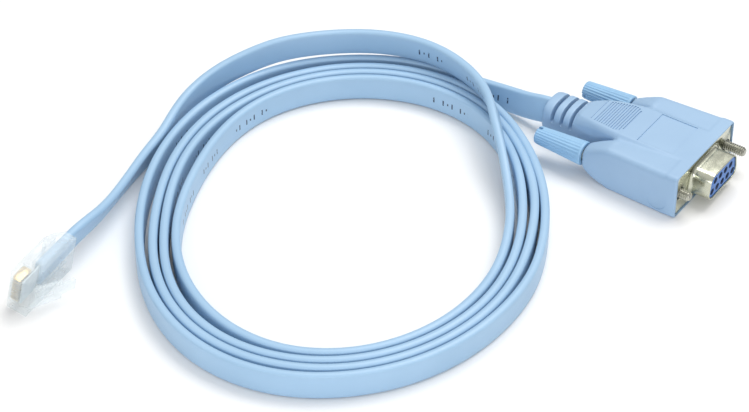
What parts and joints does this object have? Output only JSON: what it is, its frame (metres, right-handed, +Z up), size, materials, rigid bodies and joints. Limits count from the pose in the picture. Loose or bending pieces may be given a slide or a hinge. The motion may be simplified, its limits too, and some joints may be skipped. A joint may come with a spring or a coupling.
{
  "type": "serial console cable",
  "caption": "Flat ribbon cable in a loose coil, with a D-shaped screw-down connector in a moulded hood at one end and a clear modular plug at the other.",
  "frame": {"origin": "on the surface under the middle of the box around the connector and the plug", "axes": "+Z up from the surface that the cable lies on, +X from the plug towards the connector, +Y away from the viewer of the picture"},
  "size_m": [0.193, 0.1335, 0.0158],
  "materials": {
    "jacket": "satin light-blue vinyl",
    "hood": "satin light-blue moulding",
    "nickel": "nickel-plated sheet steel",
    "screw": "nickel-plated steel screw",
    "insulator": "satin blue moulding",
    "gold": "gold-plated contact",
    "clear": "clear polycarbonate"
  },
  "bodies": {
    "root": {"hood": "hood", "dsub_shell": "nickel", "dsub_insulator": "insulator", "socket_contact_1": "gold", "socket_contact_2": "gold", "socket_contact_3": "gold", "socket_contact_4": "gold", "socket_contact_5": "gold", "socket_contact_6": "gold", "socket_contact_7": "gold", "socket_contact_8": "gold", "socket_contact_9": "gold", "plug_body": "clear", "plug_contact_1": "gold", "plug_contact_2": "gold", "plug_contact_3": "gold", "plug_contact_4": "gold", "plug_contact_5": "gold", "plug_contact_6": "gold", "plug_contact_7": "gold", "plug_contact_8": "gold", "cable_tail_plug": "jacket", "cable_tail_hood": "jacket", "cable_coil": "jacket"},
    "thumbscrew_near": {"thumbscrew_pin_near": "screw", "thumbscrew_knob_near": "hood"},
    "thumbscrew_far": {"thumbscrew_pin_far": "screw", "thumbscrew_knob_far": "hood"}
  },
  "joints": [
    {"name": "thumbscrew_near_spin", "type": "hinge", "parent": "root", "child": "thumbscrew_near", "pos_m": [0.06542, 0.00526, 0.0066], "axis": [0.8192, -0.5736, 0], "continuous": true},
    {"name": "thumbscrew_far_spin", "type": "hinge", "parent": "root", "child": "thumbscrew_far", "pos_m": [0.07975, 0.02573, 0.0066], "axis": [0.8192, -0.5736, 0], "continuous": true}
  ]
}
